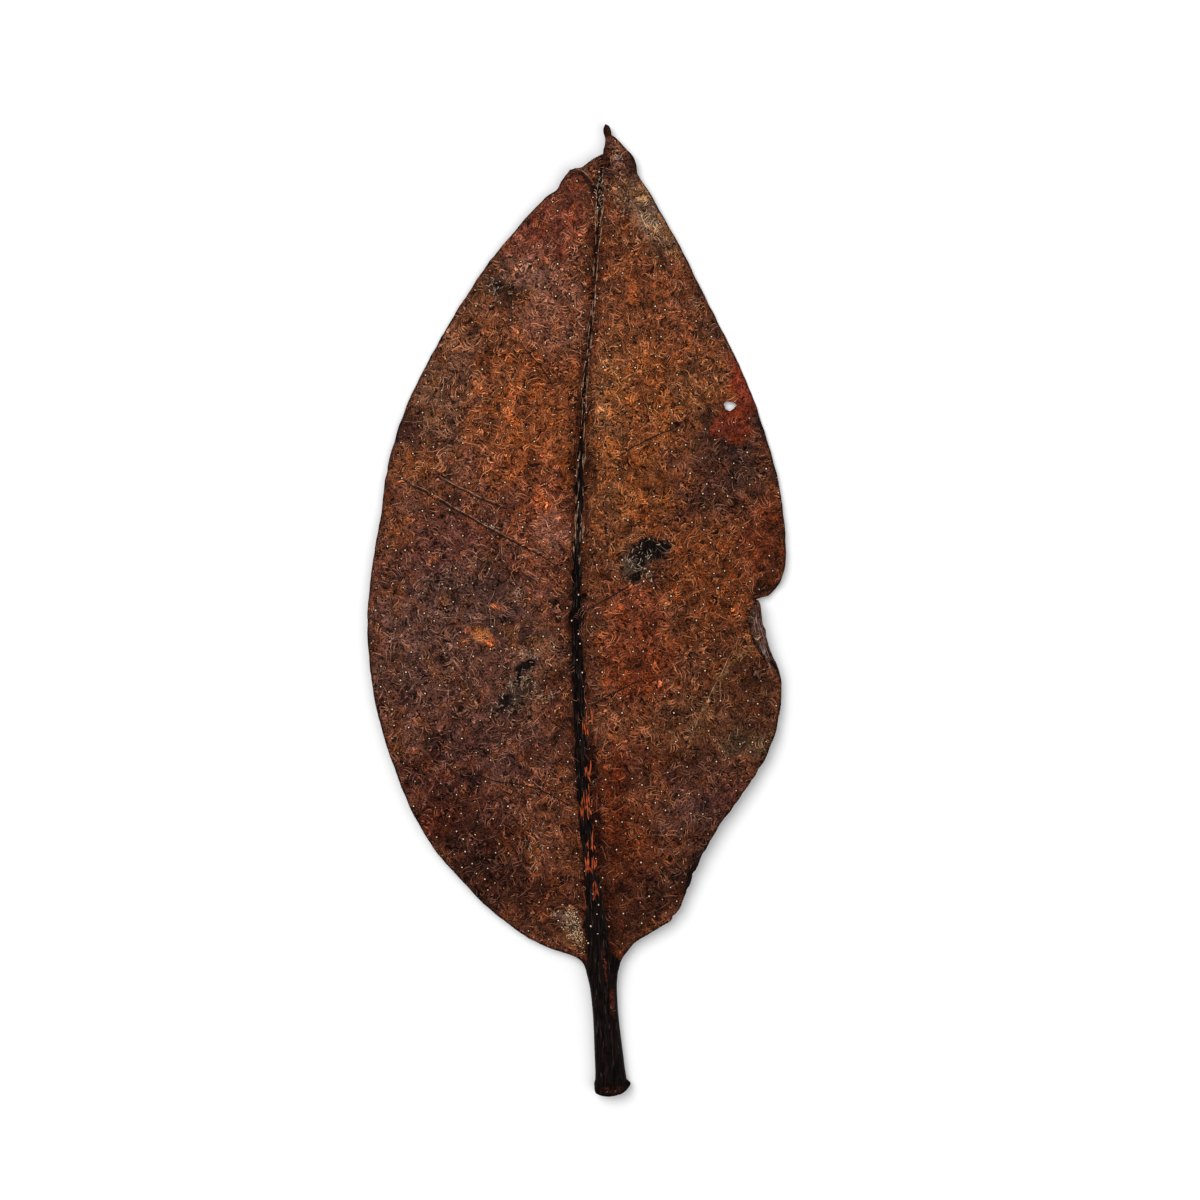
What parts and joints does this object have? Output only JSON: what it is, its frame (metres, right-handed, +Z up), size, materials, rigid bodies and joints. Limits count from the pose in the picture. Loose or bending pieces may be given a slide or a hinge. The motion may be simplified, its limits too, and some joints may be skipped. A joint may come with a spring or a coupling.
{
  "type": "mangrove leaf",
  "caption": "Dried, fallen mangrove leaf lying upper face up: leathery elliptic blade with a grooved midrib, a torn and folded margin, a small hole and a cut leaf stalk.",
  "frame": {"origin": "middle of the bounding box at the bottom, on the surface that the leaf lies on", "axes": "+Y along the leaf towards its tip, +X to the right seen from above with the tip up, +Z up out of the upper face"},
  "size_m": [0.0608, 0.1411, 0.0038],
  "materials": {
    "dry_leaf": "dry, leathery brown leaf, low sheen"
  },
  "bodies": {
    "root": {"leaf": "dry_leaf"}
  },
  "joints": []
}
